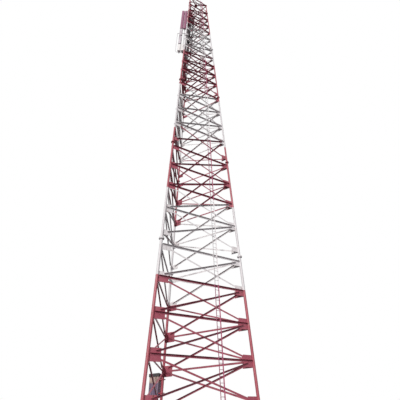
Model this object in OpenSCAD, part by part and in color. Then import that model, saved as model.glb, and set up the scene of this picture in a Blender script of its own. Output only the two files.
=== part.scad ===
// Radio mast: a free-standing three-leg lattice tower, 5 long sections and a short top one.
// Millimetres, real size, +Z up. The origin is under the front left leg, on its base plate's
// flat face. The ladder side is the front and looks along -Y.
// Every lattice side is drawn upright in its own plane and then leaned in, as it is built.

/* [Tower] */
// height of the lowest section, mm
sec_low = 7240; // [6000:20:8000]
// height of each of the other four long sections, mm
sec_long = 7000; // [6000:20:8000]
// height of the short top section, mm
sec_top = 1712; // [1500:4:3000]
// leg axis to tower axis at the ground, mm
base_r = 3096; // [2600:2:3600]
// leg axis to tower axis at the top, mm
top_r = 1101; // [1001:2:1301]
// from a flange joint to the brace points next to it, mm
joint_gap = 320; // [280:5:400]
// from a base plate's top to the first brace point, mm
foot_gap = 288; // [240:4:400]
// from the last brace point to the top of the legs, mm
top_gap = 120; // [80:5:200]

/* [Legs] */
// leg tube outside diameters, lowest section first, mm
leg_d = [141.3, 127, 114.3, 101.6, 88.9, 88.9];
// flange thickness, mm
flange_t = 30; // [14:1:36]
// flange diameter as a multiple of the leg's
flange_k = 1.94; // [1.6:0.02:2.1]
// base plate side, mm
plate_side = 460; // [400:10:560]
// base plate thickness, mm
plate_t = 32; // [20:1:45]
// height of the base plate ribs, mm
rib_h = 190; // [140:5:240]
// thickness of the base plate ribs, mm
rib_t = 14; // [8:1:20]
// anchor hole diameter, mm
anchor_d = 30; // [22:1:36]

/* [Lattice] */
// gusset plate thickness, mm
gusset_t = 12; // [10:1:16]
// thickness of the bars between the gussets, mm
brace_t = 8; // [5:0.5:9]
// gusset reach as a share of half the side's width, lowest section first
gusset_share = [0.213, 0.2, 0.19, 0.19, 0.185, 0.2];
// width of the level angles, lowest section first, mm
level_w = [90, 85, 80, 75, 70, 65];
// width of the crossed angles, lowest section first, mm
brace_w = [80, 75, 70, 60, 55, 50];
// steel left round the bars on a gusset, mm
edge = 12; // [8:1:20]
// steel left over at the top and the foot of a gusset, mm
gusset_spare = 22; // [12:1:40]

/* [Ladder] */
// ladder width over the rails, mm
ladder_w = 230; // [200:5:320]
// ladder stile size, mm
stile = 40; // [30:1:50]
// distance between rungs, mm
rung_step = 250; // [230:5:300]
// rung across its flats, mm
rung_d = 22; // [18:1:26]
// ladder's place across the front, -1 left leg to 1 right leg at the ground
ladder_at = 0.28; // [0.2:0.01:0.5]
// clear distance from the side's plane to the stiles, mm
ladder_off = 130; // [110:5:180]
// thickness of the ladder brackets, mm
lug_t = 8; // [6:1:12]

/* [Antennas] */
// the antenna group's foot, below the fourth flange joint, mm
ant_below = 1580; // [1500:10:1620]
// antenna width, mm
ant_w = 270; // [240:5:300]
// antenna depth, mm
ant_d = 150; // [120:5:200]
// lengths of the antennas in the outer column, lowest first, mm
ant_h = [1020, 1360, 1120, 3440];
// clear height between antennas of one column, mm
ant_gap = 100; // [80:10:140]
// distances of the antenna columns out from the left side, mm
ant_out = [275, 570];
// from a pole's axis to the back of its antenna, mm
clamp_l = 80; // [60:5:110]
// distances of the radio columns in from the left side, mm
radio_in = [150, 430];
// how many radio units each column has
radio_n = [4, 2];
// radio unit width, mm
radio_w = 250; // [200:5:270]
// radio unit height, mm
radio_h = 760; // [600:10:820]
// radio unit depth without its fins, mm
radio_d = 150; // [100:5:200]
// clear height between radio units, mm
radio_gap = 140; // [80:10:300]
// depth of the cooling fins, mm
fin_d = 45; // [20:5:60]
// thickness of the cooling fins, mm
fin_t = 10; // [6:1:14]
// diameter of the poles, mm
pole_d = 60; // [48:1:76]
// size of the square arms that hold the poles, mm
arm = 40; // [30:1:44]
// distance of the guard tube out from the left side, mm
guard_out = 900; // [860:10:1000]
// bend radius of the guard tube, mm
guard_bend = 290; // [150:10:300]
// diameter of the coil of spare cable, mm
coil_d = 420; // [380:10:440]
// thickness of the coil, mm
coil_t = 100; // [80:5:120]
// clear height from the coil up to the lowest radio unit, mm
coil_gap = 720; // [300:20:900]

/* [Cabinet] */
// cabinet width, mm
cab_w = 610; // [500:10:900]
// cabinet height, mm
cab_h = 900; // [700:10:1100]
// cabinet depth, mm
cab_d = 300; // [250:10:400]
// height of the cabinet's foot, mm
cab_z = 870; // [600:10:1200]
// from the back leg's axis to the cabinet's side, mm
cab_gap = 130; // [120:5:250]
// how far the lid reaches past the cabinet, mm
lid_over = 30; // [20:5:100]
// height of the lid at its high edge, mm
lid_h = 150; // [60:5:160]

/* [Top] */
// length of the lightning rod, mm
rod_l = 1500; // [1000:50:1600]
// thickness of the top frame, mm
frame_t = 14; // [10:1:20]
// width of the top frame's arms, mm
frame_w = 90; // [60:5:120]
// diameter of the warning light, mm
lamp_d = 140; // [100:5:200]

/* [Hidden] */
// sections as a list, and the height where each one starts
sec_h = [sec_low, sec_long, sec_long, sec_long, sec_long, sec_top];
bays = [4, 4, 4, 5, 5, 1];
function z_start(i) = i == 0 ? 0 : z_start(i - 1) + sec_h[i - 1];
tower_h = z_start(5) + sec_top;
function gap_up(i) = i == 5 ? top_gap : joint_gap;
bay_first = plate_t + foot_gap;
function z_first(i) = z_start(i) + (i == 0 ? bay_first : joint_gap);
function z_last(i) = z_start(i) + sec_h[i] - gap_up(i);
function bay_h(i) = (z_last(i) - z_first(i)) / bays[i];
function z_node(i, j) = z_first(i) + j * bay_h(i);
// lean of a leg for each mm of height, and as angles for a leg and a side's middle line
lean = (base_r - top_r) / tower_h;
leg_tilt = atan(lean);
side_tilt = atan(lean / 2);
// leg azimuths: front left, front right, back
leg_az = [210, 330, 90];
function leg_r(h) = base_r - lean * h;
function half_side(h) = leg_r(h) * sin(60);
axis_x = base_r * cos(30);
axis_y = base_r * sin(30);
fit = 0.4;
bite = 1;
// a gusset is as tall as it takes for a brace to come out of its outer edge
gusset_w = [for (i = [0:5]) gusset_share[i] * half_side(z_first(i))];
function steepest(i) = atan2(bay_h(i), half_side(z_last(i)) + half_side(z_last(i) - bay_h(i)));
gusset_h = [for (i = [0:5]) 2 * gusset_w[i] * tan(steepest(i))
                            + brace_w[i] / cos(steepest(i)) + 2 * gusset_spare];
$fn = 14;

// Places
// puts its children in a leg's own frame: z up the leg, x outward from the tower
module on_leg(k) {
    translate([axis_x, axis_y, 0])
    rotate([0, 0, leg_az[k]])
    translate([base_r, 0, 0])
    rotate([0, -leg_tilt, 0])
    children();
}

// puts its children in a side's own frame: x across, z up the slope, -y outward
module on_side(k) {
    translate([axis_x, axis_y, 0])
    rotate([0, 0, 120 * k])
    translate([0, -base_r / 2, 0])
    rotate([-side_tilt, 0, 0])
    children();
}

function up_leg(h) = h / cos(leg_tilt);
function up_side(h) = h / cos(side_tilt);

// Legs
// one leg length: a tube, closed by the flange welded on each end, so drawn solid
module leg_length(i, k) {
    d = leg_d[i];
    z0 = z_start(i);
    z1 = z_start(i) + sec_h[i];
    s0 = up_leg(z0) + fit;
    s1 = up_leg(z1) - fit;
    on_leg(k) {
        translate([0, 0, s0]) cylinder(d = d, h = s1 - s0);
        if (i > 0)
            translate([0, 0, s0]) cylinder(d = leg_d[i - 1] * flange_k, h = flange_t);
        translate([0, 0, s1 - flange_t]) cylinder(d = d * flange_k, h = flange_t);
    }
}

module legs(i) {
    color([0.66, 0.2, 0.22])
    for (k = [0:2])
        if (i == 0)
            difference() {
                leg_length(i, k);
                translate([-400, -400, -100])
                    cube([2 * axis_x + 800, 3 * axis_y + 800, 100 + plate_t + fit]);
            }
        else
            leg_length(i, k);
}

// base plates with four ribs each, cut to the leaning tube
module base_rib() {
    rotate([90, 0, 0])
    translate([0, 0, -rib_t / 2])
    linear_extrude(height = rib_t)
    polygon([[leg_d[0] / 2 + fit, 0], [plate_side * 0.44, 0],
             [plate_side * 0.44, plate_t + 2 * rib_t], [leg_d[0] / 2 + fit, rib_h]]);
}

module base_plates() {
    color([0.45, 0.45, 0.45])
    for (k = [0:2])
        difference() {
            union() {
                translate([axis_x, axis_y, 0])
                rotate([0, 0, leg_az[k]])
                translate([base_r - plate_side / 2, -plate_side / 2, 0])
                    cube([plate_side, plate_side, plate_t]);
                difference() {
                    on_leg(k)
                        for (q = [0:3]) rotate([0, 0, 90 * q + 45]) base_rib();
                    translate([-500, -500, -100])
                        cube([2 * axis_x + 1000, 3 * axis_y + 1000, 100 + plate_t - bite]);
                }
            }
            translate([axis_x, axis_y, 0])
            rotate([0, 0, leg_az[k]])
            translate([base_r, 0, 0])
                for (q = [0:3]) rotate([0, 0, 90 * q])
                    translate([plate_side * 0.38, 0, -bite])
                        cylinder(d = anchor_d, h = plate_t + 2 * bite);
        }
}

// Lattice sides
// level angle across a side at height h: one flange in the plane, one standing outward
module level_angle(i, h) {
    a = brace_t / 2;
    e = level_w[i] / 2;
    x = half_side(h) - gusset_w[i] + bite;
    translate([-x, 0, up_side(h)])
    rotate([90, 0, 90])
    linear_extrude(height = 2 * x)
    polygon([[a, -e], [-a, -e], [-a, e - brace_t], [a - 2 * e, e - brace_t],
             [a - 2 * e, e], [a, e]]);
}

// flat bar from p to q in a side's plane
module flat_bar(p, q, w) {
    dir = atan2(q[1] - p[1], q[0] - p[0]);
    translate([p[0], 0, p[1]])
    rotate([0, -dir, 0])
    translate([0, -brace_t / 2, -w / 2])
        cube([norm(q - p), brace_t, w]);
}

// gusset beside a leg: its edge on the tube leans with the leg
module gusset(i, h, side, zlow, zhigh) {
    r = leg_d[i] / 2 + fit;
    s0 = up_side(h + zlow);
    s1 = up_side(h + zhigh);
    g0 = half_side(h + zlow) - r / cos(leg_tilt);
    g1 = half_side(h + zhigh) - r / cos(leg_tilt);
    out = half_side(h) - gusset_w[i];
    rotate([90, 0, 0])
    translate([0, 0, -gusset_t / 2])
    linear_extrude(height = gusset_t)
    polygon([[side * g0, s0], [side * g1, s1], [side * out, s1], [side * out, s0]]);
}

// point on a brace line, a length in from the leg
function brace_end(h0, h1, s, inset) =
    let (a = [s * half_side(h0), up_side(h0)], b = [-s * half_side(h1), up_side(h1)])
    a + (b - a) / norm(b - a) * inset;

// a brace starts a little way inside its gusset's outer edge
function inset(i, h) =
    let (t = atan2(bay_h(i), 2 * half_side(h)))
    (gusset_w[i] - brace_w[i] / 2 * sin(t) - 2 * bite) / cos(t) - bite;

module lattice(i, k) {
    n = bays[i];
    color([0.62, 0.12, 0.17])
    on_side(k) {
        // level angles, one at every brace point but the one above a joint
        for (j = [(i == 0 ? 0 : 1):n])
            level_angle(i, z_node(i, j));
        // gussets, halved where a joint is near
        for (j = [0:n], s = [-1, 1]) {
            h = z_node(i, j);
            low = (j == 0) ? -level_w[i] / 2 - edge : -gusset_h[i] / 2;
            high = (j == n) ? level_w[i] / 2 + edge : gusset_h[i] / 2;
            gusset(i, h, s, low, high);
        }
        // crossed bars, fused where they cross
        for (j = [0:n - 1], s = [-1, 1]) {
            h0 = z_node(i, j);
            h1 = z_node(i, j + 1);
            flat_bar(brace_end(h0, h1, s, inset(i, h0)), brace_end(h1, h0, -s, inset(i, h1)),
                     brace_w[i]);
        }
    }
}

// Ladder
// stands off the front side; each length has its own brackets at the levels
module ladder(i) {
    x0 = ladder_at * half_side(0);
    s0 = up_side(i == 0 ? bay_first : z_start(i)) + fit;
    s1 = up_side(z_start(i) + sec_h[i]) - fit;
    n = floor((s1 - s0) / rung_step);
    first = (s1 - s0 - (n - 1) * rung_step) / 2;
    // it keeps its share of the narrowing front
    turn = atan(ladder_at * lean * sin(60));
    color([0.7, 0.35, 0.4])
    on_side(0) {
        translate([x0, -ladder_off, 0])
        rotate([0, -turn, 0]) {
            for (s = [-1, 1])
                translate([s * (ladder_w - stile) / 2 - stile / 2, -stile, s0])
                    cube([stile, stile, s1 - s0]);
            for (j = [0:n - 1])
                translate([-ladder_w / 2 + stile - bite, -stile / 2 - rung_d / 2,
                           s0 + first + j * rung_step])
                    cube([ladder_w - 2 * stile + 2 * bite, rung_d, rung_d]);
        }
        // a bracket from the level angle to each stile
        for (j = [(i == 0 ? 0 : 1):bays[i]], s = [-1, 1]) {
            h = z_node(i, j);
            x = ladder_at * half_side(h) + s * (ladder_w - stile) / 2 - lug_t / 2;
            translate([x, -ladder_off - bite, up_side(h) - level_w[i] / 2])
                cube([lug_t, ladder_off + bite - brace_t / 2 - fit, level_w[i] - 2 * brace_t]);
        }
    }
}

// Antennas
// on the left side: two columns of antennas outside it, two of radio units inside it
ant_low = z_start(4) - ant_below;
function ant_z(j) = j == 0 ? ant_low : ant_z(j - 1) + ant_h[j - 1] + ant_gap;
ant_top = ant_z(3) + ant_h[3];
// the poles stand back from the front left leg by a share of the side
ant_x = half_side(ant_top) * 0.6;
radio_x = half_side(ant_top) * 0.3;
radio_step = radio_h + radio_gap;
radio_top = z_node(4, 4) - radio_gap;
coil_z = up_side(radio_top) - radio_n[0] * radio_step - coil_gap - coil_d / 2;
pole_foot = z_node(3, 4) - 2 * arm;
// the antennas' arms pass between poles and antennas, the radio units' arms behind their poles
arm_shift = pole_d / 2 + fit + arm / 2;

module antenna_poles() {
    color([0.6, 0.6, 0.62])
    on_side(2) {
        for (p = [for (y = ant_out) [ant_x, -y], for (y = radio_in) [radio_x, y]])
            translate([p[0], p[1], up_side(pole_foot)])
                cylinder(d = pole_d, h = up_side(ant_top + 70 - pole_foot));
    }
}

// square arms, each with its end plate against a level angle
module antenna_arms() {
    color([0.5, 0.5, 0.52])
    on_side(2)
    // section and brace point of each level that carries arms
    for (a = [[3, 4], [4, 1], [4, 3], [4, 4]]) {
        e = level_w[a[0]] / 2;
        z = up_side(z_node(a[0], a[1])) - e;
        // s is -1 for the antennas' arm outside the side, 1 for the radio units' arm inside
        for (s = [-1, 1]) {
            x = s < 0 ? ant_x + arm_shift : radio_x - arm_shift;
            y0 = brace_t / 2 + fit;
            y1 = (s < 0 ? ant_out[1] : radio_in[1]) + pole_d;
            translate([x, s * (y0 + y1) / 2, z + arm / 2])
                cube([arm, y1 - y0, arm], center = true);
            translate([x, s * (y0 + brace_t / 2), z - arm / 2])
                cube([3 * arm, brace_t, 3 * arm], center = true);
        }
    }
    color([0.5, 0.5, 0.52])
    on_side(2) guard_tube();
}

// bent tube that runs on from the lowest arm and up to the next one, outside the antennas
module guard_tube() {
    x = ant_x + arm_shift;
    z0 = up_side(z_node(3, 4)) - level_w[3] / 2 + arm / 2;
    z1 = up_side(z_node(4, 1)) - level_w[4] / 2 + arm / 2;
    d = arm - 2 * bite;
    start = ant_out[1] + pole_d - arm;
    translate([x, -guard_out + guard_bend, z0 + guard_bend])
    rotate([0, 90, 0])
    rotate([0, 0, 270])
    rotate_extrude(angle = 90, $fn = 28) translate([guard_bend, 0]) circle(d = d, $fn = 12);
    translate([x, -start, z0])
    rotate([90, 0, 0])
        cylinder(d = d, h = max(guard_out - guard_bend - start, bite), $fn = 12);
    translate([x, -guard_out, z0 + guard_bend]) cylinder(d = d, h = z1 - z0 - guard_bend, $fn = 12);
    translate([x, -(guard_out + start) / 2, z1]) cube([arm, guard_out - start + arm, arm], center = true);
}

// one antenna: a long box with a rounded front and two blocks against its pole
module antenna(h) {
    r = ant_w / 2;
    clamp = 80;
    linear_extrude(height = h)
        polygon([[0, -r], [ant_d * 0.6, -r], [ant_d * 0.93, -r * 0.72], [ant_d, -r * 0.35],
                 [ant_d, r * 0.35], [ant_d * 0.93, r * 0.72], [ant_d * 0.6, r], [0, r]]);
    for (z = [h * 0.12, h * 0.88 - clamp])
        translate([pole_d / 2 + fit - clamp_l, -clamp / 2, z])
            cube([clamp_l - pole_d / 2 - fit + bite, clamp, clamp]);
}

// the inner column has the first and the last of the outer one's antennas
module antenna_column(y, every) {
    color([0.92, 0.92, 0.9])
    on_side(2)
    for (j = [0:every:3])
        translate([ant_x + clamp_l, -y, up_side(ant_z(j))]) antenna(ant_h[j]);
}

// one radio unit: a box with a ribbed back, hooked on its pole
module radio_unit() {
    x = pole_d / 2 + fit;
    translate([x, -radio_w / 2, 0]) cube([radio_d, radio_w, radio_h]);
    for (q = [-2:2])
        translate([x + radio_d - bite, q * radio_w / 5 - fin_t / 2, fin_d])
            cube([fin_d + bite, fin_t, radio_h - 2 * fin_d]);
}

module radio_units() {
    color([0.25, 0.24, 0.25])
    on_side(2)
    for (c = [0, 1])
        for (j = [1:radio_n[c]])
            translate([radio_x, radio_in[c], up_side(radio_top) - j * radio_step])
                radio_unit();
}

// spare cable in a coil, drawn as one ring, on a flat cross between the radio units' poles
module cable_coil() {
    x = pole_d / 2 + fit;
    r = coil_d / 2 - coil_t / 2;
    color([0.14, 0.14, 0.15])
    on_side(2)
    translate([radio_x + x, coil_d / 2 + pole_d / 2, coil_z]) {
        translate([coil_t / 2 + bite, 0, 0])
        rotate([0, 90, 0])
        rotate_extrude($fn = 20) translate([r, 0]) circle(d = coil_t, $fn = 8);
        for (a = [0, 90])
            rotate([a, 0, 0]) translate([0, -arm / 2, -coil_d / 2]) cube([2 * brace_t, arm, coil_d]);
    }
}

// Cabinet
// hung beside the back leg, in line with the right side
module at_cab() {
    translate([axis_x, axis_y, 0])
    rotate([0, 0, leg_az[2]])
    translate([leg_r(cab_z), 0, 0])
    rotate([0, 0, 30])
    children();
}

module cabinet_body() {
    color([0.8, 0.74, 0.64])
    at_cab()
    translate([cab_gap, -cab_d / 2, cab_z])
    difference() {
        cube([cab_w, cab_d, cab_h]);
        // the door lies a little back in its frame
        translate([cab_w * 0.04, -bite, cab_w * 0.05])
            cube([cab_w * 0.92, cab_d * 0.025 + bite, cab_h - cab_w * 0.1]);
    }
}

module cabinet_lid() {
    color([0.2, 0.19, 0.19])
    at_cab()
    translate([cab_gap - lid_over, -cab_d / 2 - lid_over, cab_z + cab_h + fit])
    rotate([90, 0, 90])
    linear_extrude(height = cab_w + 2 * lid_over)
    polygon([[0, 0], [cab_d + 2 * lid_over, 0], [cab_d + 2 * lid_over, lid_h], [0, lid_h / 2]]);
}

// arms from the back leg, cut to the tube and to the cabinet's side
module cabinet_bracket() {
    color([0.5, 0.5, 0.52])
    for (z = [cab_z + cab_h * 0.13, cab_z + cab_h * 0.8])
        difference() {
            translate([axis_x, axis_y, z])
            rotate([0, 0, leg_az[2]])
            translate([leg_r(z), 0, 0])
            rotate([0, 0, 30])
                translate([-leg_d[0] * 0.8, -leg_d[0] * 0.65, 0])
                    cube([leg_d[0] + cab_gap, leg_d[0] * 1.3, 40]);
            on_leg(2) cylinder(d = leg_d[0] + 2 * fit, h = sec_low);
            at_cab() translate([cab_gap - fit, -cab_d, 0]) cube([cab_w, 2 * cab_d, sec_low]);
        }
}

// Top
module top_frame() {
    color([0.62, 0.12, 0.17])
    translate([axis_x, axis_y, tower_h])
    linear_extrude(height = frame_t)
    union() {
        for (k = [0:2]) rotate([0, 0, leg_az[k]]) {
            translate([0, -frame_w / 2]) square([top_r, frame_w]);
            translate([top_r, 0]) circle(d = leg_d[5] * flange_k);
        }
        circle(r = lamp_d * 1.2);
    }
}

// a mast foot, a tube and a tapered rod
module lightning_rod() {
    color([0.7, 0.7, 0.72])
    translate([axis_x, axis_y, tower_h + frame_t + fit]) {
        cylinder(d = frame_w * 1.2, h = 40);
        cylinder(d = frame_w / 2, h = rod_l * 0.36);
        cylinder(d1 = frame_w / 3, d2 = 8, h = rod_l - frame_t);
    }
}

module obstruction_light() {
    color([0.8, 0.1, 0.08])
    translate([axis_x, axis_y, tower_h + frame_t + fit])
    rotate([0, 0, leg_az[1]])
    translate([top_r * 0.3, 0, 0]) {
        cylinder(d = lamp_d * 0.45, h = lamp_d);
        translate([0, 0, lamp_d - bite]) cylinder(d = lamp_d, h = lamp_d * 1.6);
    }
}

legs(0);  // legs_s1
legs(1);  // legs_s2
legs(2);  // legs_s3
legs(3);  // legs_s4
legs(4);  // legs_s5
legs(5);  // legs_s6
base_plates();
lattice(0, 0);  // front_s1
lattice(1, 0);  // front_s2
lattice(2, 0);  // front_s3
lattice(3, 0);  // front_s4
lattice(4, 0);  // front_s5
lattice(5, 0);  // front_s6
lattice(0, 1);  // right_s1
lattice(1, 1);  // right_s2
lattice(2, 1);  // right_s3
lattice(3, 1);  // right_s4
lattice(4, 1);  // right_s5
lattice(5, 1);  // right_s6
lattice(0, 2);  // left_s1
lattice(1, 2);  // left_s2
lattice(2, 2);  // left_s3
lattice(3, 2);  // left_s4
lattice(4, 2);  // left_s5
lattice(5, 2);  // left_s6
ladder(0);  // ladder_s1
ladder(1);  // ladder_s2
ladder(2);  // ladder_s3
ladder(3);  // ladder_s4
ladder(4);  // ladder_s5
ladder(5);  // ladder_s6
antenna_poles();
antenna_arms();
antenna_column(ant_out[1], 1);  // antennas_outer
antenna_column(ant_out[0], 3);  // antennas_inner
radio_units();
cable_coil();
cabinet_body();
cabinet_lid();
cabinet_bracket();
top_frame();
lightning_rod();
obstruction_light();
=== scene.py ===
# %% [markdown]
# # A radio mast in banded paint
# The mast is a free-standing tower on three tube legs, tied by flat lattice sides that lean in.
# Its construction comes packed from the CAD source, and it is loaded here as a fixed frame.
# This script only dresses it: rolled angles, bolts, radomes, weathered paint, light and a camera.

from math import atan, cos, pi, radians, sin

import bpy
import numpy as np
from mathutils import Matrix, Vector


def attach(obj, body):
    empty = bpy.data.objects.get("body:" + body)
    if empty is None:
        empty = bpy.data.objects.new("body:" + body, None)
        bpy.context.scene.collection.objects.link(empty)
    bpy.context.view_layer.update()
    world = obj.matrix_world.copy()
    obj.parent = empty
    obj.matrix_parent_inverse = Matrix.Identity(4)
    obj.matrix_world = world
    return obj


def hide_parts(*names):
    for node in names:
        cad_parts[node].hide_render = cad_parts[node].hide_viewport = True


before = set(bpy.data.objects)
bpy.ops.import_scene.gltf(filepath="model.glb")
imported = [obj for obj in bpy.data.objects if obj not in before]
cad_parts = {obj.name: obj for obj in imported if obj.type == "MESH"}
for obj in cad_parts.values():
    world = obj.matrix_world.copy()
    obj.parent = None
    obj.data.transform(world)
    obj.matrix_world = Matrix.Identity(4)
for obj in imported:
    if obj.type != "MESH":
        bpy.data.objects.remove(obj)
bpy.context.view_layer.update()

# %% [markdown]
# The steel follows a few driving sizes, the same ones that the CAD source uses, here in metres.
# A tower like this is made in bolted lengths, and each length is divided into equal crossed bays.
# Writing the sizes once keeps every bolt and bar on the gusset that carries it.

# %% Driving sizes
SECTION_H = np.array([7.24, 7.0, 7.0, 7.0, 7.0, 1.712])
BAYS = [4, 4, 4, 5, 5, 1]
BASE_R, TOP_R = 3.096, 1.101
FOOT_GAP, JOINT_GAP, TOP_GAP = 0.288, 0.32, 0.12
PLATE_SIDE, PLATE_T = 0.46, 0.032
LEG_D = np.array([0.1413, 0.127, 0.1143, 0.1016, 0.0889, 0.0889])
FLANGE_T, FLANGE_K = 0.03, 1.94
GUSSET_SHARE = [0.213, 0.2, 0.19, 0.19, 0.185, 0.2]
GUSSET_T = 0.012
LEVEL_W = [0.09, 0.085, 0.08, 0.075, 0.07, 0.065]
BRACE_W = [0.08, 0.075, 0.07, 0.06, 0.055, 0.05]
ANGLE_T = 0.006
# how wide the flange that stands out is, as a share of the flat one
STAND = [1.0, 1.0, 1.2, 1.35, 1.35, 1.2]
EDGE, GUSSET_SPARE = 0.012, 0.022
# the width of an M27 nut, and the gap that keeps a new surface off the CAD surface beside it
M27_ACROSS, HAIR = 0.041, 0.0004
SIDES = ["front", "right", "left"]

SECTION_Z = np.concatenate([[0], np.cumsum(SECTION_H)])
TOWER_H = SECTION_Z[-1]
LEAN = (BASE_R - TOP_R) / TOWER_H
LEG_TILT, SIDE_TILT = atan(LEAN), atan(LEAN / 2)
AXIS = Vector((BASE_R * cos(radians(30)), BASE_R * sin(radians(30)), 0))
LEG_AZIMUTH = [210, 330, 90]


def half_side(h):
    """Half the width of a side at height h: the leg circle there, times the sine of 60 degrees."""
    return (BASE_R - LEAN * h) * sin(radians(60))


def up_side(h):
    """Length up a leaning side that reaches height h."""
    return h / cos(SIDE_TILT)


def up_leg(h):
    """Length up a leaning leg that reaches height h."""
    return h / cos(LEG_TILT)


def levels(i):
    """Heights of the brace points of section i, evenly spaced between its end gaps."""
    first = SECTION_Z[i] + (PLATE_T + FOOT_GAP if i == 0 else JOINT_GAP)
    last = SECTION_Z[i + 1] - (TOP_GAP if i == 5 else JOINT_GAP)
    return np.linspace(first, last, BAYS[i] + 1)


def angle_heights(i):
    """Heights of the level angles of section i: only the first section has one at its lowest point."""
    return levels(i)[min(i, 1):]


print("tower height:", TOWER_H, "leans in", round(LEAN * 1000, 1), "mm a metre")

# %% [markdown]
# Each side is drawn upright in its own plane and then leaned into place, as a shop would weld it
# flat on the floor. Four by four matrices do the leaning, so the drawing stays simple:
# x runs across the side, y points into the tower and z runs up the slope.


# %% Frames of the sides and the legs
def turn(degrees, axis):
    """Rotation matrix about a main axis."""
    return Matrix.Rotation(radians(degrees), 4, axis)


def move(x, y, z):
    """Translation matrix."""
    return Matrix.Translation((x, y, z))


def side_frame(k):
    """Place of side k: 0 front, 1 right, 2 left."""
    lean = Matrix.Rotation(-SIDE_TILT, 4, "X")
    return Matrix.Translation(AXIS) @ turn(120 * k, "Z") @ move(0, -BASE_R / 2, 0) @ lean


def towards_leg(k, out):
    """An upright place on the ground, out metres from the tower's axis on leg k's side."""
    return Matrix.Translation(AXIS) @ turn(LEG_AZIMUTH[k], "Z") @ move(out, 0, 0)


def leg_frame(k):
    """Place of leg k: z runs up the leg and x points away from the tower."""
    return towards_leg(k, BASE_R) @ Matrix.Rotation(-LEG_TILT, 4, "Y")


def put(points, place):
    """Points moved by a four by four matrix."""
    m = np.array(place)
    return points @ m[:3, :3].T + m[:3, 3]


# %% [markdown]
# Almost everything here is a straight bar, a plate, a bolt or something turned on a lathe.
# So two makers do most of the work: one closes the space between two rings of corners,
# and one turns a profile about an axis. Both work on whole arrays, so a thousand bolts cost no loop.


# %% Shape makers
def unit(v):
    """Vectors scaled to length one."""
    return v / np.linalg.norm(v, axis=-1, keepdims=True)


def circle(sides, radius, start=0.0):
    """Corners of a regular polygon: radius times cosine and sine of equal steps."""
    a = start + np.arange(sides) * 2 * pi / sides
    return np.stack([np.cos(a), np.sin(a)], 1) * radius


def hexagon(across):
    """Corners of a hexagon, measured across its flats."""
    return circle(6, across / 2 / cos(radians(30)))


def at(x, y, z):
    """Points from three arrays or numbers."""
    return np.stack(np.broadcast_arrays(*(np.asarray(a, float) for a in (x, y, z))), -1)


def spread(outline, side, up):
    """An outline (u, v) laid out as u times side plus v times up, once for each pair of directions."""
    return outline[None, :, :1] * side[:, None] + outline[None, :, 1:] * up[:, None]


def rows(*points):
    """Single points and lists of points, all as (n, 3) arrays of one length."""
    return np.broadcast_arrays(*(np.atleast_2d(np.array(a, float)) for a in points))


def prisms(lower, upper):
    """Closed bodies between pairs of rings, as (n, m, 3) arrays of corners.

    Sides are the quads between neighbouring corners, and the rings are the ends. A ring that runs
    the wrong way round, by the sign of its area vector times the way up, is turned over first.
    """
    lower, upper = np.array(lower, float), np.array(upper, float)
    area = np.cross(lower, np.roll(lower, -1, 1)).sum(1)
    area -= np.cross(lower.mean(1), (np.roll(lower, -1, 1) - lower).sum(1))
    wrong = (area * (upper.mean(1) - lower.mean(1))).sum(1) < 0
    lower[wrong], upper[wrong] = lower[wrong, ::-1], upper[wrong, ::-1]
    n, m, _ = lower.shape
    j = np.arange(m)
    k = (j + 1) % m
    first = np.arange(n) * 2 * m
    quads = np.stack([j, k, k + m, j + m], 1)[None] + first[:, None, None]
    ends = np.concatenate([j[::-1][None] + first[:, None], j[None] + m + first[:, None]])
    return np.stack([lower, upper], 1).reshape(-1, 3), quads.reshape(-1, 4).tolist() + ends.tolist()


def bars(outline, start, end, top):
    """Straight bars with one outline (u, v): v points to top, u to top crossed with the way along."""
    start, end, top = rows(start, end, top)
    along = unit(end - start)
    side = unit(np.cross(top, along))
    ring = spread(outline, side, np.cross(along, side))
    return prisms(start[:, None] + ring, end[:, None] + ring)


def blocks(low, high):
    """Boxes between opposite corners."""
    low, high = rows(low, high)
    corner = np.array([[0, 0], [1, 0], [1, 1], [0, 1]])
    plan = low[:, None, :2] + (high - low)[:, None, :2] * corner
    return prisms(*(at(plan[..., 0], plan[..., 1], z[:, 2:]) for z in (low, high)))


def extruded(ring, low, high):
    """A flat ring of corners (x, y) raised from one height to another."""
    return prisms(at(*ring.T, low)[None], at(*ring.T, high)[None])


def skin(grid, looped=False):
    """Quads between neighbouring rings of a (rings, sides, 3) grid, its ends closed or looped."""
    rows, sides, _ = grid.shape
    i, j = np.meshgrid(np.arange(rows if looped else rows - 1), np.arange(sides), indexing="ij")
    k, n = (j + 1) % sides, (i + 1) % rows
    quads = np.stack([i * sides + j, i * sides + k, n * sides + k, n * sides + j], -1)
    first = np.arange(sides)
    ends = [] if looped else [first[::-1].tolist(), (first + (rows - 1) * sides).tolist()]
    return grid.reshape(-1, 3), quads.reshape(-1, 4).tolist() + ends


def turned(profile, sides):
    """A profile of (radius, height) turned about z: x = r cos a and y = r sin a."""
    r, z = np.array(profile, float).T[..., None]
    a = np.arange(sides) * 2 * pi / sides
    return skin(at(r * np.cos(a), r * np.sin(a), z))


def tube(path, radius, sides, closed=False):
    """A round bar along a path: each point carries a ring square to the path's local direction.

    A closed path has its last ring tied to the first. Its rings start along the path's own axis.
    """
    path = np.array(path, float)
    if closed:
        along = unit(np.roll(path, -1, 0) - np.roll(path, 1, 0))
        side = np.broadcast_to(unit(np.cross(path[1] - path[0], path[2] - path[1])), path.shape)
    else:
        along = unit(np.gradient(path, axis=0))
        helper = np.array([0, 0, 1.0]) if abs(along[:, 2]).mean() < 0.7 else np.array([0, 1.0, 0])
        side = np.cross(helper, along)
        # where the path runs along the helper, the ring keeps the direction of the one before
        lost = np.flatnonzero(np.linalg.norm(side, axis=1) < 1e-9)
        side[lost] = side[lost - 1]
        side = unit(side)
    return skin(path[:, None] + spread(circle(sides, radius), side, np.cross(along, side)), closed)


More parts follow.
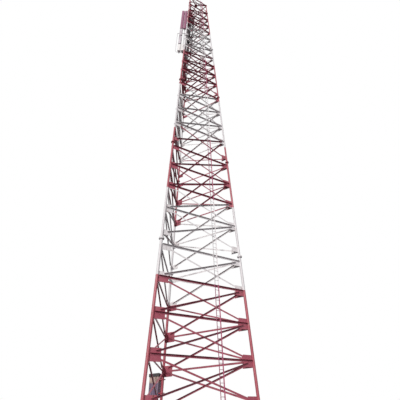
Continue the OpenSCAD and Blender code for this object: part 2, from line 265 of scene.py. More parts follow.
def rounded_plan(low, high, r, steps=4):
    """Corners of a rectangle whose own corners are quarter circles of radius r."""
    low, high = np.array(low), np.array(high)
    a = np.radians(np.concatenate([np.linspace(q, q + 90, steps) for q in (0, 90, 180, 270)]))
    corner = np.repeat([(1, 1), (0, 1), (0, 0), (1, 0)], steps, 0)
    return low + r + corner * (high - low - 2 * r) + r * np.stack([np.cos(a), np.sin(a)], 1)


def repeat(shape, offsets):
    """Copies of a shape, one at each offset."""
    points, faces = shape
    offsets = np.atleast_2d(offsets)
    moved = (points[None] + offsets[:, None]).reshape(-1, 3)
    step = len(points)
    return moved, [[c + step * n for c in face] for n in range(len(offsets)) for face in faces]


def joined(*shapes):
    """Several shapes as one."""
    points, faces, count = [], [], 0
    for p, f in shapes:
        points.append(p)
        faces += [[c + count for c in face] for face in f]
        count += len(p)
    return np.concatenate(points), faces


# %% [markdown]
# A piece gathers its shapes, each with a number for wear: how readily water stands there and
# paint gives way. Bolts and plate edges score high, the middle of a bar low. The number goes
# into the mesh as an attribute, so one paint can rust where the real one would.


# %% Pieces
class Piece:
    """Gathers shapes for one mesh."""

    def __init__(self, name):
        self.name = name
        self.points, self.faces, self.wear, self.paint, self.count = [], [], [], [], 0

    def add(self, shape, place, wear, paint=None):
        """Adds a shape, moved by place. Paint holds one height for each of the shape's equal parts."""
        points, faces = put(shape[0], place), shape[1]
        self.points.append(points)
        self.faces += [[c + self.count for c in face] for face in faces]
        self.wear.append(np.full(len(points), wear))
        self.paint.append(points[:, 2] if paint is None else np.repeat(paint, len(points) // len(paint)))
        self.count += len(points)

    def done(self, finish, replaces=(), smooth=None):
        """Makes the mesh, gives it its finish and lets it ride on the mast."""
        mesh = bpy.data.meshes.new(self.name)
        mesh.from_pydata(np.concatenate(self.points).tolist(), [], self.faces)
        for label, numbers in (("wear", self.wear), ("paint_height", self.paint)):
            layer = mesh.attributes.new(label, "FLOAT", "POINT")
            layer.data.foreach_set("value", np.concatenate(numbers).astype(np.float32))
        if smooth:
            mesh.shade_smooth()
            mesh.set_sharp_from_angle(angle=radians(smooth))
        mesh.materials.append(finish)
        thing = bpy.data.objects.new(self.name, mesh)
        bpy.context.scene.collection.objects.link(thing)
        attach(thing, "root")
        if replaces:
            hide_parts(*replaces)
        print(f"{self.name}: {sum(len(f) - 2 for f in self.faces)} triangles")


# %% [markdown]
# ## Finishes
# Shader maths reads best as Python. A small class wraps a socket and overloads the operators,
# so that an expression on masks adds the Math nodes it needs. Every other node comes from one
# method that sets the node's options first and its sockets after.


# %% Shader sockets as values
class Value:
    """A number inside a material."""

    def __init__(self, finish, socket):
        self.finish, self.socket = finish, socket

    def maths(self, operation, *others, clamp=False):
        """One Math node on this value and others."""
        settings = {"operation": operation, "use_clamp": clamp}
        return self.finish.node("ShaderNodeMath", settings, dict(enumerate((self, *others))))

    def __add__(self, other):
        return self.maths("ADD", other)

    def __sub__(self, other):
        return self.maths("SUBTRACT", other)

    def __mul__(self, other):
        return self.maths("MULTIPLY", other)

    def __rsub__(self, other):
        return self.maths("MULTIPLY_ADD", -1.0, other)

    def __gt__(self, other):
        return self.maths("GREATER_THAN", other)

    __radd__, __rmul__ = __add__, __mul__

    def between(self, low, high):
        """0 on the far side of low, 1 on that of high and a smooth step between them."""
        inputs = {"Value": self, "From Min": low, "From Max": high}
        return self.finish.node("ShaderNodeMapRange", {"interpolation_type": "SMOOTHSTEP"}, inputs)

    def clipped(self):
        """The value kept between 0 and 1."""
        return self.maths("ADD", 0.0, clamp=True)


class Finish:
    """A material built around one Principled shader."""

    def __init__(self, name, **constants):
        self.material = bpy.data.materials.new(name)
        self.material.use_nodes = True
        self.tree = self.material.node_tree
        self.shader = self.tree.nodes["Principled BSDF"]
        for socket, value in constants.items():
            self.shader.inputs[socket.replace("_", " ")].default_value = value
        self.position = self.node("ShaderNodeTexCoord", {}, {}, "Object")

    def node(self, kind, settings, inputs, output=0):
        """Any node: its settings first, then values or links for its sockets."""
        made = self.tree.nodes.new(kind)
        for key, value in settings.items():
            setattr(made, key, value)
        for key, value in inputs.items():
            if isinstance(value, Value):
                self.tree.links.new(value.socket, made.inputs[key])
            else:
                made.inputs[key].default_value = value
        return Value(self, made.outputs[output])

    def noise(self, scale, detail=2.0, stretch=(1, 1, 1), seed=0.0, roughness=0.5):
        """Noise between 0 and 1 about one half, at so many lumps a metre."""
        inputs = {"Vector": self.position, "Location": (seed, seed * 1.7, seed * 0.6), "Scale": stretch}
        inputs = {"Vector": self.node("ShaderNodeMapping", {}, inputs), "Scale": scale, "Detail": detail}
        return self.node("ShaderNodeTexNoise", {}, {**inputs, "Roughness": roughness})

    def mix(self, share, first, second):
        """First colour where share is 0, second where it is 1."""
        inputs = {"Factor": share, 6: first, 7: second}
        return self.node("ShaderNodeMix", {"data_type": "RGBA"}, inputs, 2)

    def height(self):
        """Height above the ground, in metres."""
        return self.node("ShaderNodeSeparateXYZ", {}, {0: self.position}, "Z")

    def number(self, label):
        """A number that the mesh carries, 0 where it has none."""
        return self.node("ShaderNodeAttribute", {"attribute_name": label}, {}, "Fac")

    def set(self, socket, value):
        """Links a value to the shader."""
        self.tree.links.new(value.socket, self.shader.inputs[socket])

    def bump(self, value, depth):
        """Lets a value raise the surface by depth metres."""
        inputs = {"Height": value, "Distance": depth, "Strength": 1.0}
        self.set("Normal", self.node("ShaderNodeBump", {}, inputs))


def rgb(red, green, blue):
    """Screen colour from 0 to 255 as the linear colour that a shader wants."""
    c = np.array([red, green, blue]) / 255
    linear = np.where(c <= 0.04045, c / 12.92, ((c + 0.055) / 1.055) ** 2.4)
    return (*linear.tolist(), 1.0)


# %% [markdown]
# A tall mast is painted in seven bands for aircraft, red at the foot and at the top. On the legs,
# the ladder and the gussets the bands follow height, and their edges, brushed by hand, waver by
# a centimetre. A level or a crossed angle keeps one colour from end to end, that of its lower end.
# The red chalks to a dusty rose, dirt gathers in blotches, and rust breaks out at bolts and edges
# and runs down in streaks.

# %% Banded paint
# a crossed angle takes the colour found this far above the brace point it starts from
STOP = 0.15
BAND_TOPS = [5.325, 10.526, 15.648, 20.662, 25.70, 30.908]
RUST, RUST_DARK = rgb(122, 66, 40), rgb(74, 44, 34)
DUST = rgb(150, 128, 120)


def red_share(finish):
    """1 in the red bands and 0 in the white ones: each band top switches the colour."""
    z = finish.number("paint_height") + (finish.noise(9.0, seed=3.0) - 0.5) * 0.03
    share = 1 - (z > BAND_TOPS[0])
    for n, top in enumerate(BAND_TOPS[1:]):
        share = share + (z > top) * (1.0 if n % 2 == 0 else -1.0)
    return share


def banded_paint(name, red, rose, white, roughness=0.5, rust=0.5):
    """Weathered red and white band paint; rose is what the red chalks to."""
    f = Finish(name)
    cloud = f.noise(0.8, 3.0, seed=1.0)
    blotch = f.noise(6.0, 4.0, seed=5.0, roughness=0.6)
    fleck = f.noise(38.0, 3.0, seed=9.0)
    streak = f.noise(16.0, 3.0, (1, 1, 0.09), seed=2.0)
    wear = f.number("wear")
    red_paint = f.mix((cloud * 0.7 + blotch * 0.5).between(0.45, 0.8), red, rose)
    dull_white = (*(c * 0.86 for c in white[:3]), 1.0)
    white_paint = f.mix((blotch * 0.6 + cloud * 0.4).between(0.42, 0.75), white, dull_white)
    paint = f.mix(red_share(f), white_paint, red_paint)
    dirt = (streak * 0.55 + blotch * 0.45).between(0.52, 0.72) * 0.4
    paint = f.mix(dirt, paint, DUST)
    bare = blotch * 0.45 + fleck * 0.35 + streak * 0.2 + wear * 0.11
    bare = bare.between(0.66 - 0.06 * rust, 0.7 - 0.04 * rust)
    paint = f.mix(bare, paint, f.mix(fleck, RUST_DARK, RUST))
    f.set("Base Color", paint)
    f.set("Roughness", (blotch * 0.3 + bare * 0.35 + (roughness - 0.15)).clipped())
    f.bump(fleck * 0.5 + bare * -0.6 + blotch, 0.0012)
    return f.material


WHITE_PAINT = rgb(226, 224, 225)
leg_paint = banded_paint("leg_paint", rgb(156, 64, 77), rgb(172, 86, 97), rgb(212, 210, 212), 0.42, 0.5)
lattice_paint = banded_paint("lattice_paint", rgb(155, 74, 90), rgb(171, 94, 108), WHITE_PAINT, 0.5, 0.7)
ladder_paint = banded_paint("ladder_paint", rgb(166, 84, 112), rgb(180, 106, 132), WHITE_PAINT, 0.5, 0.5)
print("paints:", leg_paint.name, lattice_paint.name, ladder_paint.name)

# %% [markdown]
# The other finishes are plainer. Galvanised steel shows a faint spangle and dull patches,
# radome plastic is a satin off-white with runs of grey and a painted shade on its middle tiers,
# and the radio housings are a dark powder coat with fine grain.


# %% Plain finishes
def galvanised_steel(name, dark, light, metallic):
    """Zinc: cells of slightly different grey, white bloom and a little rust."""
    f = Finish(name, Metallic=metallic)
    cells = f.node("ShaderNodeTexVoronoi", {}, {"Vector": f.position, "Scale": 45.0}, "Color")
    spangle = f.node("ShaderNodeSeparateXYZ", {}, {0: cells}, "X")
    bloom = f.noise(5.0, 4.0, seed=4.0)
    grain = f.noise(80.0)
    metal = f.mix(spangle * 0.35 + bloom * 0.4, dark, light)
    stain = (bloom * 0.6 + grain * 0.4 + f.number("wear") * 0.08).between(0.62, 0.68) * 0.8
    f.set("Base Color", f.mix(stain, metal, RUST))
    f.set("Roughness", (bloom * 0.35 + 0.32).clipped())
    f.bump(grain + bloom, 0.0006)
    return f.material


# the middle tiers of antennas, which get a painted shade, start at the first height, the top tier at the
# second
ANT_MID_LOW, ANT_TOP_LOW = 27.68, 30.41


def radome_plastic(name):
    """Off-white glass-fibre radomes; a painted shade greys the middle tiers, and the top one is
    overpainted rose.
    """
    f = Finish(name)
    haze = f.noise(3.0, 3.0, seed=6.0)
    runs = f.noise(30.0, 2.0, (1, 1, 0.05), seed=8.0)
    plain = f.mix((haze * 0.5 + runs * 0.5).between(0.4, 0.7), rgb(236, 235, 233), rgb(205, 204, 204))
    # painted shade: a lavender grey that stands in for the shade on the middle tiers
    grey = f.mix(runs.between(0.42, 0.6), rgb(196, 188, 196), rgb(124, 112, 122))
    rosy = f.mix(runs, rgb(116, 56, 90), rgb(146, 84, 112))
    # the middle tiers take the painted shade at 80 percent
    plain = f.mix((f.height() > ANT_MID_LOW) * 0.8, plain, grey)
    f.set("Base Color", f.mix(f.height() > ANT_TOP_LOW, plain, rosy))
    f.set("Roughness", (haze * 0.2 + 0.35).clipped())
    f.bump(f.noise(60.0), 0.0003)
    return f.material


def powder_coat(name, colour, dusty, roughness=0.55):
    """A fine-grained coating with dust on it."""
    f = Finish(name)
    dust = f.noise(7.0, 4.0, seed=7.0)
    f.set("Base Color", f.mix(dust.between(0.42, 0.75) * 0.5, colour, dusty))
    f.set("Roughness", (dust * 0.25 + (roughness - 0.1)).clipped())
    f.bump(f.noise(220.0), 0.0004)
    return f.material


def cabinet_coat(name):
    """Cream cabinet paint with slanted brown runs and a bluish shade low down."""
    f = Finish(name)
    inputs = {"Vector": f.position, "Rotation": (0.0, radians(18), 0.0), "Scale": (1, 1, 0.16)}
    slant = f.node("ShaderNodeMapping", {}, inputs)
    runs = f.node("ShaderNodeTexNoise", {}, {"Vector": slant, "Scale": 15.0, "Detail": 3.0})
    haze = f.noise(4.0, 3.0, seed=2.0)
    base = f.mix(haze.between(0.35, 0.7), rgb(196, 172, 160), rgb(160, 136, 130))
    base = f.mix(runs.between(0.42, 0.56) * 0.85, base, rgb(84, 62, 60))
    low = f.height().between(1.52, 1.44)
    f.set("Base Color", f.mix(low * 0.75, base, rgb(84, 74, 108)))
    f.set("Roughness", (haze * 0.3 + 0.35).clipped())
    f.bump(f.noise(90.0), 0.0004)
    return f.material


def lamp_glass(name):
    """Deep red ribbed glass."""
    f = Finish(name, Coat_Weight=0.6, Coat_Roughness=0.08)
    dust = f.noise(25.0, 3.0)
    f.set("Base Color", f.mix(dust.between(0.4, 0.8) * 0.4, rgb(196, 22, 18), rgb(120, 52, 46)))
    f.set("Roughness", (dust * 0.25 + 0.1).clipped())
    return f.material


galvanised = galvanised_steel("galvanised", rgb(128, 130, 134), rgb(172, 174, 176), 0.55)
bright_zinc = galvanised_steel("bright_zinc", rgb(186, 184, 188), rgb(222, 220, 222), 0.15)
radome = radome_plastic("radome")
radio_paint = powder_coat("radio_paint", rgb(74, 70, 74), rgb(120, 112, 112))
lid_paint = powder_coat("lid_paint", rgb(54, 50, 52), rgb(96, 86, 84))
cabinet_paint = cabinet_coat("cabinet_paint")
rod_metal = galvanised_steel("rod_metal", rgb(150, 152, 156), rgb(190, 192, 194), 0.6)
lamp = lamp_glass("lamp")
rubber = powder_coat("rubber", rgb(34, 33, 35), rgb(80, 76, 76), 0.7)
print("finishes:", len(bpy.data.materials))

# %% [markdown]
# ## Legs
# A leg length is a steel tube with a thick flange welded on each end, and eight bolts tie it to
# the next one. On a lathe that is one profile: flange, weld, tube, weld, flange. The tubes stand
# 14 sided in the CAD source, so here a smooth one takes their place.


# %% Leg tubes
def hexagon_bolt(across, head, nut, low, high, stub):
    """A bolt along z: head under low, washer and nut above high and the thread's end past them."""
    ring, washer, tip = hexagon(across), high + 0.003, high + nut + stub
    thread_r, washer_r = across * 0.3, across * 0.62
    return joined(
        extruded(ring, low - head, low),
        extruded(ring, washer, washer + nut),
        turned([(thread_r, high), (thread_r, tip), (thread_r * 0.8, tip + 0.003)], 8),
        turned([(washer_r, high), (washer_r, washer)], 12),
    )


def flange_profile(r, rim, face, inwards):
    """(radius, height) of a flange from its face: a bevelled rim, then the weld bead on the tube."""
    bevel, bead, back = 0.002, 0.009, face + FLANGE_T * inwards
    return [
        (rim - bevel, face), (rim, face + bevel * inwards), (rim, back - bevel * inwards),
        (rim - bevel, back), (r + bead, back), (r + bead * 0.4, back + bead / 2 * inwards),
        (r, back + bead * inwards),
    ]


def leg_profile(i):
    """(radius, height) up a leg length. The first stands on its base plate, the others on a flange."""
    r, low, high = LEG_D[i] / 2, up_leg(SECTION_Z[i]) + HAIR, up_leg(SECTION_Z[i + 1]) - HAIR
    if i == 0:
        lower = [(r, up_leg(PLATE_T) - 0.004)]
    else:
        lower = flange_profile(r, LEG_D[i - 1] / 2 * FLANGE_K, low, 1)
    return lower + [(r, low + 1.0)] + flange_profile(r, r * FLANGE_K, high, -1)[::-1]


for i in range(6):
    legs = Piece(f"leg_tubes_s{i + 1}")
    joint, bolt_circle = up_leg(SECTION_Z[i + 1]), LEG_D[i] / 2 * (1 + FLANGE_K) / 2
    bolt = hexagon_bolt(M27_ACROSS, 0.017, 0.022, joint - FLANGE_T, joint + FLANGE_T, 0.018)
    bolts = repeat(bolt, at(*circle(8, bolt_circle, radians(22.5)).T, 0))
    for k in range(3):
        legs.add(turned(leg_profile(i), 28), leg_frame(k), 0.15)
        if i < 5:
            legs.add(bolts, leg_frame(k), 0.9)
    legs.done(leg_paint, [f"legs_s{i + 1}"], smooth=32)

# %% [markdown]
# ## Lattice sides
# A side is bolted together from plates and rolled angles. Gussets are welded to the legs. A level
# angle crosses on their outer face with one flange standing out, and of the two crossed angles
# one lies on the outer face and one on the inner, back to back, with a packing plate where they
# meet. From below, the flanges that stand towards you are dark and the flat faces are bright,
# which is most of what the eye reads in a lattice.


# %% Rolled angle and bolt shapes
def angle_outline(out, w, t):
    """Outline of a rolled angle, legs out and w, heel at the origin: a fillet inside, rounded toes."""
    r = t * 0.9
    return np.array([
        (0, 0), (out, 0), (out, t * 0.45), (out - t * 0.4, t), (t + r, t), (t + r * 0.3, t + r * 0.3),
        (t, t + r), (t, w - t * 0.4), (t * 0.45, w), (0, w),
    ])


def gusset_size(i):
    """Reach from the leg axis and height, so that a brace leaves by the outer edge."""
    z = levels(i)
    reach = GUSSET_SHARE[i] * half_side(z[0])
    slope = (z[-1] - z[-2]) / (half_side(z[-1]) + half_side(z[-2]))
    return reach, 2 * reach * slope + BRACE_W[i] / cos(atan(slope)) + 2 * GUSSET_SPARE


def cross_bolt(across, out, inside):
    """A bolt through a side, along y: head outside, nut and thread inside."""
    points, faces = hexagon_bolt(across, across * 0.42, across * 0.5, out, inside, 0.008)
    return points[:, [0, 2, 1]] * [1, 1, -1], faces


# %% [markdown]
# Gussets, level angles and crossed angles each have a function that makes them for all heights of
# a section at once. An angle carries one paint height, so it keeps one colour.

# %% Gussets, level angles and crossed angles
LEVEL_BOLT, BRACE_BOLT, WELD_R, LEG_CLEAR = 0.024, 0.022, 0.008, 0.012


def add_gussets(piece, i, place):
    """Plates beside both legs; the edge on the tube leans with it and has a weld bead on each face."""
    z, (reach, tall) = levels(i), gusset_size(i)
    short = LEVEL_W[i] / 2 + EDGE
    low, high = z - tall / 2, z + tall / 2
    low[0], high[-1] = z[0] - short, z[-1] + short
    tube_r, inner = LEG_D[i] / 2 / cos(LEG_TILT) + HAIR, half_side(z) - reach
    x = np.stack([half_side(low) - tube_r, half_side(high) - tube_r, inner, inner], 1)
    up = up_side(np.stack([low, high, high, low], 1))
    for s in (-1, 1):
        faces = [at(s * x, y, up) for y in (-GUSSET_T / 2, GUSSET_T / 2)]
        piece.add(prisms(*faces), place, 0.45)
        for face in faces:
            piece.add(bars(circle(6, WELD_R), face[:, 0], face[:, 1], (0, 1, 0)), place, 0.7)


def add_levels(piece, i, place):
    """Level angles on the outer face: one flange flat on the gussets, one standing out on top."""
    z = angle_heights(i)
    w, t, back = LEVEL_W[i], ANGLE_T + 0.001, GUSSET_T / 2
    outline = angle_outline(w * STAND[i], w, t) * -1 + [-back, w / 2]
    x = half_side(z) - LEG_D[i] / 2 - LEG_CLEAR
    piece.add(bars(outline, at(-x, 0, up_side(z)), at(x, 0, up_side(z)), (0, 0, 1)), place, 0.2, z)
    bolt, gusset_edge = cross_bolt(LEVEL_BOLT, back + t, back), half_side(z) - gusset_size(i)[0]
    for s in (-1, 1):
        for step in (0.04, 0.1, 0.16)[: 3 if i < 4 else 2]:
            here = at(s * (gusset_edge + step), 0, up_side(z) - t / 2)
            piece.add(repeat(bolt, here), place, 1.0, z)


def add_braces(piece, i, place):
    """Crossed angles: rising to the right on the outer face, to the left on the inner one."""
    w, t, back = BRACE_W[i], ANGLE_T, GUSSET_T / 2
    low, high = levels(i)[:-1], levels(i)[1:]
    lap = gusset_size(i)[0] * 0.62
    count, first, pitch = (3, 0.035, 0.055) if i < 2 else (2, 0.035, 0.045)
    outline = angle_outline(w * STAND[i], w, t) * -1 + [-back, w / 2]
    for s in (-1, 1):
        start = at(s * half_side(low), 0, up_side(low))
        end = at(-s * half_side(high), 0, up_side(high))
        along = unit(end - start)
        a, b = start + along * lap, end - along * lap
        # bars() turns the outline's left to the inside for s = -1 and to the outside for s = 1
        piece.add(bars(outline, a, b, np.cross(along, [0, -s, 0])), place, 0.2, low + STOP)
        out, inside = (back + t, back) if s < 0 else (back, back + t)
        bolt = cross_bolt(BRACE_BOLT, out, inside)
        for step in first + pitch * np.arange(count):
            piece.add(repeat(bolt, a + along * step), place, 1.0, low + STOP)
            piece.add(repeat(bolt, b - along * step), place, 1.0, low + STOP)
    # the packing plate and bolt where the two cross
    share = half_side(low) / (half_side(low) + half_side(high))
    middle = at(0, 0, up_side(low + (high - low) * share))
    half_plate = np.array([w * 0.45, back, w * 0.45])
    piece.add(blocks(middle - half_plate, middle + half_plate), place, 0.6)
    piece.add(repeat(cross_bolt(BRACE_BOLT, back + t, back + t), middle), place, 1.0, low + STOP)


for k, side in enumerate(SIDES):
    for i in range(6):
        lattice = Piece(f"{side}_lattice_s{i + 1}")
        place = side_frame(k)
        add_gussets(lattice, i, place)
        add_levels(lattice, i, place)
        add_braces(lattice, i, place)
        lattice.done(lattice_paint, [f"{side}_s{i + 1}"])

# %% [markdown]
# ## Ladder
# The ladder stands off the front side on lugs. Its stiles are light angles with round rungs
# welded between them every quarter of a metre, and fishplates join one length to the next.

# %% Ladder lengths
LADDER_AT, LADDER_W, LADDER_OFF = 0.28, 0.23, 0.13
STILE, RUNG_STEP, RUNG_D, LUG_T, FISHPLATE = 0.04, 0.25, 0.022, 0.008, 0.24
LADDER_TURN = atan(LADDER_AT * LEAN * sin(radians(60)))

for i in range(6):
    ladder = Piece(f"ladder_run_s{i + 1}")
    low = up_side(PLATE_T + FOOT_GAP if i == 0 else SECTION_Z[i]) + HAIR
    high = up_side(SECTION_Z[i + 1]) - HAIR
    front = side_frame(0)
    foot = move(LADDER_AT * half_side(0), -LADDER_OFF, 0)
    run = front @ foot @ Matrix.Rotation(-LADDER_TURN, 4, "Y")
    for s in (-1, 1):
        outline, x = angle_outline(STILE, STILE, 0.005) * [-s, -1], s * LADDER_W / 2
        ladder.add(bars(outline, (x, 0, low), (x, 0, high), (0, 1, 0)), run, 0.3)
        if i < 5:
            joint = high + np.array([-1, 1]) * FISHPLATE / 2
            ladder.add(blocks((x, -0.034, joint[0]), (x + s * 0.008, -0.006, joint[1])), run, 0.6)
    count = int((high - low) / RUNG_STEP)
    first = (high - low - (count - 1) * RUNG_STEP) / 2
    z = low + first + np.arange(count) * RUNG_STEP
    x = LADDER_W / 2 - 0.002
    rungs = bars(circle(10, RUNG_D / 2), at(-x, -STILE / 2, z), at(x, -STILE / 2, z), (0, 0, 1))
    ladder.add(rungs, run, 0.5)
    z = angle_heights(i)
    for s in (-1, 1):
        x = LADDER_AT * half_side(z) + s * (LADDER_W - STILE) / 2
        lug_low = at(x - LUG_T / 2, -LADDER_OFF - 0.001, up_side(z) - LEVEL_W[i] / 2)
        lug_high = at(x + LUG_T / 2, -GUSSET_T / 2 - ANGLE_T, up_side(z) + LEVEL_W[i] / 2 - 0.016)
        ladder.add(blocks(lug_low, lug_high), front, 0.6)
    ladder.done(ladder_paint, [f"ladder_s{i + 1}"], smooth=40)

# %% [markdown]
# ## Antennas
# Two columns of panel antennas stand outside the left side on vertical poles. A radome is a long
# moulding with a flat back and a crowned front, so its section is half a rounded box and half a
# superellipse, and its ends close over a short dome. Underneath are its lead sockets.

# %% Antenna sizes
ANT_BELOW, ANT_W, ANT_D, ANT_GAP = 1.58, 0.27, 0.15, 0.1
ANT_H = [1.02, 1.36, 1.12, 3.44]
ANT_OUT, RADIO_IN = [0.275, 0.57], [0.15, 0.43]
CLAMP_L, POLE_D, ARM = 0.08, 0.06, 0.04
ANT_LOW = SECTION_Z[4] - ANT_BELOW
# the arms lie on four levels, their undersides flush with the level angles' lower edges
ARM_Z = [up_side(levels(i)[j]) - LEVEL_W[i] / 2 + ARM / 2 for i, j in ((3, 4), (4, 1), (4, 3), (4, 4))]
ANT_Z = ANT_LOW + np.concatenate([[0], np.cumsum(np.array(ANT_H) + ANT_GAP)[:-1]])
ANT_TOP = ANT_Z[3] + ANT_H[3]
ANT_X, RADIO_X = half_side(ANT_TOP) * 0.6, half_side(ANT_TOP) * 0.3
POLE_FOOT = levels(3)[4] - 2 * ARM
ARM_SHIFT, HOOP_R = POLE_D / 2 + ARM / 2 + HAIR, POLE_D / 2 + 0.007
LEFT = side_frame(2)


def radome_shell(h):
    """A radome: at angle a, x = d/2 (1 + |cos a|^p) and y = w/2 |sin a|^p with p small at the back.

    Rings near the ends shrink towards the axis as a quarter circle does, so the ends are domed.
    """
    dome, back = 0.02, 0.22
    a = np.arange(40) * 2 * pi / 40
    front = np.cos(a) > 0
    x = np.sign(np.cos(a)) * np.abs(np.cos(a)) ** np.where(front, 0.75, back)
    y = np.sign(np.sin(a)) * np.abs(np.sin(a)) ** np.where(front, 0.8, back)
    q = np.linspace(0, pi / 2, 6)
    z = np.concatenate([dome * (1 - np.cos(q)), h - dome * (1 - np.cos(q[::-1]))])
    inset = dome * np.concatenate([1 - np.sin(q), 1 - np.sin(q[::-1])])
    inset, z = inset[:, None], z[:, None]
    return skin(at(ANT_D / 2 + x * (ANT_D / 2 - inset), y * (ANT_W / 2 - inset), z))


def u_bolt(r):
    """A half hoop round a pole with two straight ends towards -x."""
    a = np.linspace(-pi / 2, pi / 2, 11)
    hoop = at(r * np.cos(a), r * np.sin(a), 0)
    return tube(np.concatenate([[(-r * 1.7, -r, 0)], hoop, [(-r * 1.7, r, 0)]]), 0.006, 6)


def mirrored(shape, offset):
    """A shape turned over in x and then moved."""
    points, faces = shape
    return points * [-1, 1, 1] + offset, [f[::-1] for f in faces]


# %% [markdown]
# The outer column has four radomes and the inner one two. Brackets hold each radome to its pole:
# two jaws, a cheek between them and two U-bolts.

# %% Antenna columns
SOCKET = [(0.014, -0.028), (0.016, -0.025), (0.016, -0.012), (0.012, -0.01), (0.012, 0.004)]

for name, out, every in (("outer", ANT_OUT[1], 1), ("inner", ANT_OUT[0], 3)):
    shells = Piece(f"radomes_{name}")
    hardware = Piece(f"antenna_clamps_{name}")
    for z, h in list(zip(ANT_Z, ANT_H))[::every]:
        here = LEFT @ move(ANT_X + CLAMP_L, -out, up_side(z))
        shells.add(radome_shell(h), here, 0.1)
        sockets = at([0.05, 0.05, 0.09, 0.09], [-0.08, 0.08, -0.04, 0.04], 0)
        hardware.add(repeat(turned(SOCKET, 12), sockets), here, 0.4)
        for c in (h * 0.12, h * 0.88 - 0.08):
            corner = (-CLAMP_L + POLE_D / 2 + HAIR, -0.04, c)
            jaw = blocks(corner, (0.002, 0.04, c + 0.008))
            cheek = blocks(corner, (-0.02, 0.04, c + 0.08))
            hardware.add(joined(jaw, repeat(jaw, (0, 0, 0.072)), cheek), here, 0.5)
            for lift in (0.022, 0.058):
                hardware.add(mirrored(u_bolt(HOOP_R), (-CLAMP_L, 0, c + lift)), here, 0.6)
    shells.done(radome, [f"antennas_{name}"], smooth=40)
    hardware.done(bright_zinc, smooth=40)

# %% [markdown]
# The poles are capped tubes, clamped to square arms that reach out from the level angles.
# They are turned like the legs, and U-bolts hold them at every arm.

# %% Poles and arm clamps
poles = Piece("pole_tubes")
clamps = Piece("arm_clamps")
foot, top, r = up_side(POLE_FOOT), up_side(ANT_TOP + 0.07), POLE_D / 2
profile = [(r * 0.9, foot), (r, foot + 0.003), (r, top - 0.012), (r * 0.8, top - 0.002), (r * 0.3, top)]
for x, y in ((ANT_X, -ANT_OUT[0]), (ANT_X, -ANT_OUT[1]), (RADIO_X, RADIO_IN[0]), (RADIO_X, RADIO_IN[1])):
    poles.add(repeat(turned(profile, 20), (x, y, 0)), LEFT, 0.2)
    facing = -1 if y < 0 else 1
    for z in ARM_Z:
        points, faces = u_bolt(HOOP_R)
        clamps.add(repeat((points * [facing, facing, 1], faces), (x, y, z)), LEFT, 0.7)
        plate = blocks((-0.0025, -0.06, -0.02), (0.0025, 0.06, 0.02))
        clamps.add(repeat(plate, (x - facing * (r + ARM + 0.003), y, z)), LEFT, 0.5)
poles.done(bright_zinc, ["antenna_poles"], smooth=40)
clamps.done(bright_zinc, smooth=40)

# %% [markdown]
# The arms are square tubes with welded end plates, bolted to the level angles. Outside the
# antennas a round guard tube runs on from the lowest arm, bends up and joins the next arm.
# A straight, a quarter circle and a straight make its path.

# %% Arms and guard tube
GUARD_OUT, GUARD_BEND = 0.9, 0.29

arms = Piece("arm_tubes")
outer_x, inner_x, plate = ANT_X + ARM_SHIFT, RADIO_X - ARM_SHIFT, ARM * 1.5
square = ARM * 1.1 * np.array([(-1, -1), (1, -1), (1, 1), (-1, 1)])
section = rounded_plan((-ARM / 2, -ARM / 2), (ARM / 2, ARM / 2), 0.006, 3)
arm_bolt = cross_bolt(0.019, 0.004, 0.004)
for level, z in enumerate(ARM_Z):
    for s, x, end in ((-1, outer_x, ANT_OUT[1] + POLE_D), (1, inner_x, RADIO_IN[1] + POLE_D)):
        if level == 1 and s < 0:
            end = GUARD_OUT + ARM / 2
        y = s * (GUSSET_T / 2 + (ANGLE_T + 0.002 if s < 0 else 0))
        arms.add(bars(section, (x, y, z), (x, s * end, z), (0, 0, 1)), LEFT, 0.3)
        arms.add(blocks((x - plate, y - 0.004, z - plate), (x + plate, y + 0.004, z + plate)), LEFT, 0.5)
        arms.add(repeat(arm_bolt, at(x + square[:, 0], y, z + square[:, 1])), LEFT, 0.8)
bend = np.radians(np.linspace(0, 90, 12))
curve_y = -GUARD_OUT + GUARD_BEND * (1 - np.sin(bend))
curve_z = ARM_Z[0] + GUARD_BEND * (1 - np.cos(bend))
path = at(outer_x, [-ANT_OUT[1] - 0.03, *curve_y, -GUARD_OUT], [ARM_Z[0], *curve_z, ARM_Z[1]])
arms.add(tube(path, ARM / 2 - 0.001, 18), LEFT, 0.3)
arms.done(bright_zinc, ["antenna_arms"], smooth=40)

# %% [markdown]
# ## Radio units
# Inside the same side hang the radio units that feed the antennas: cast boxes with rounded
# edges, a comb of thin cooling fins, a carrying handle on top and lead sockets underneath.

# %% Radio units
RADIO_W, RADIO_H, RADIO_D, RADIO_GAP = 0.25, 0.76, 0.15, 0.14
FIN_D, RADIO_N = 0.045, [4, 2]
RADIO_TOP, RADIO_STEP = up_side(levels(4)[4] - RADIO_GAP), RADIO_H + RADIO_GAP


def radio_unit():
    """One unit with its mounting face at x = 0 and its fins on the far side."""
    box = extruded(rounded_plan((0, -RADIO_W / 2), (RADIO_D, RADIO_W / 2), 0.018), 0, RADIO_H)
    y = np.linspace(-0.1, 0.1, 13)
    fins = blocks(at(RADIO_D - 0.002, y - 0.002, 0.045), at(RADIO_D + FIN_D, y + 0.002, RADIO_H - 0.045))
    grip_y = np.array([-0.06, -0.06, -0.045, 0.045, 0.06, 0.06])
    grip_z = RADIO_H + np.array([-0.01, 0.03, 0.045, 0.045, 0.03, -0.01])
    grip = tube(at(RADIO_D / 2, grip_y, grip_z), 0.007, 8)
    socket = turned([(0.013, -0.04), (0.016, -0.034), (0.016, -0.012), (0.011, -0.01), (0.011, 0.004)], 12)
    sockets = repeat(socket, at(0.075, np.linspace(-0.08, 0.08, 4), 0))
    return joined(box, fins, grip, sockets)


radios = Piece("radio_housings")
for column, inward in enumerate(RADIO_IN):
    for n in range(1, RADIO_N[column] + 1):
        z = RADIO_TOP - n * RADIO_STEP
        here = LEFT @ move(RADIO_X + POLE_D / 2 + HAIR, inward, z)
        radios.add(radio_unit(), here, 0.2)
radios.done(radio_paint, ["radio_units"], smooth=40)

